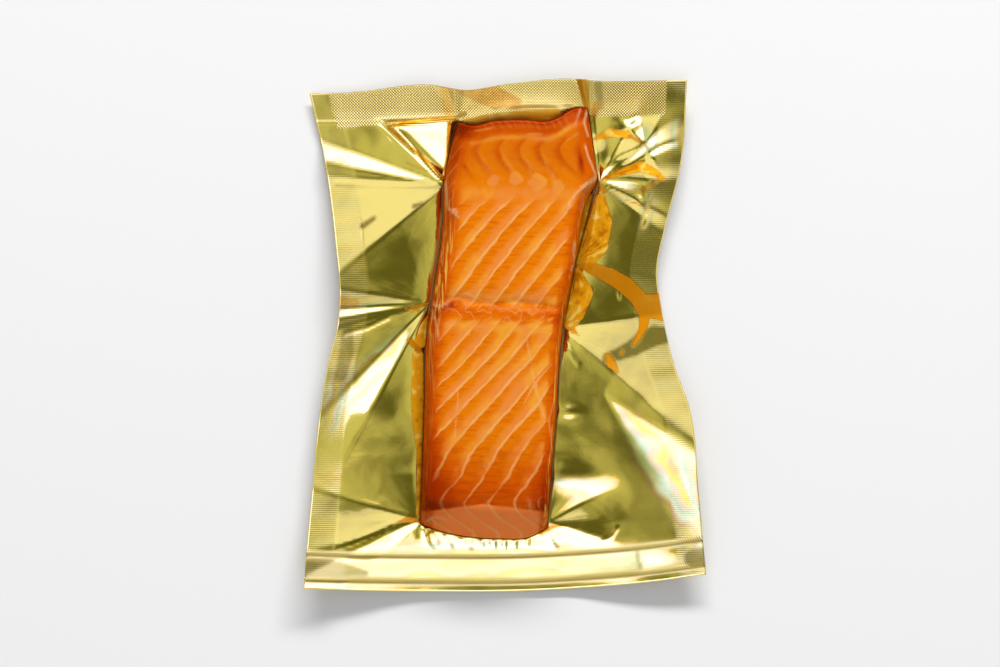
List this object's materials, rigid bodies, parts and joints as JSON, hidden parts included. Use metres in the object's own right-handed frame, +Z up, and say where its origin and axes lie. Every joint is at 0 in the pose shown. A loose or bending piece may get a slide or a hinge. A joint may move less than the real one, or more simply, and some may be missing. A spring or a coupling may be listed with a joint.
{
  "type": "vacuum pack of smoked salmon",
  "caption": "Strip of smoked salmon vacuum-sealed in a flat pouch with a gold foil back and a clear front, lying flat with its clear side up.",
  "frame": {"origin": "middle of the footprint, on the surface that the pack lies on", "axes": "+Z up through the clear front, +Y along the fillet towards the dot-embossed seal, +X to the right seen from above"},
  "size_m": [0.1606, 0.2056, 0.0201],
  "materials": {
    "pouch_foil": "mirror-bright gold metallised film, heat-sealed with fine embossing along its edges",
    "clear_film": "clear glossy film clinging to the fish, finely creased",
    "salmon_flesh": "moist orange smoked flesh with pale fat lines, redder at its cut edges"
  },
  "bodies": {
    "root": {"vacuum_pack": "pouch_foil"}
  },
  "joints": []
}
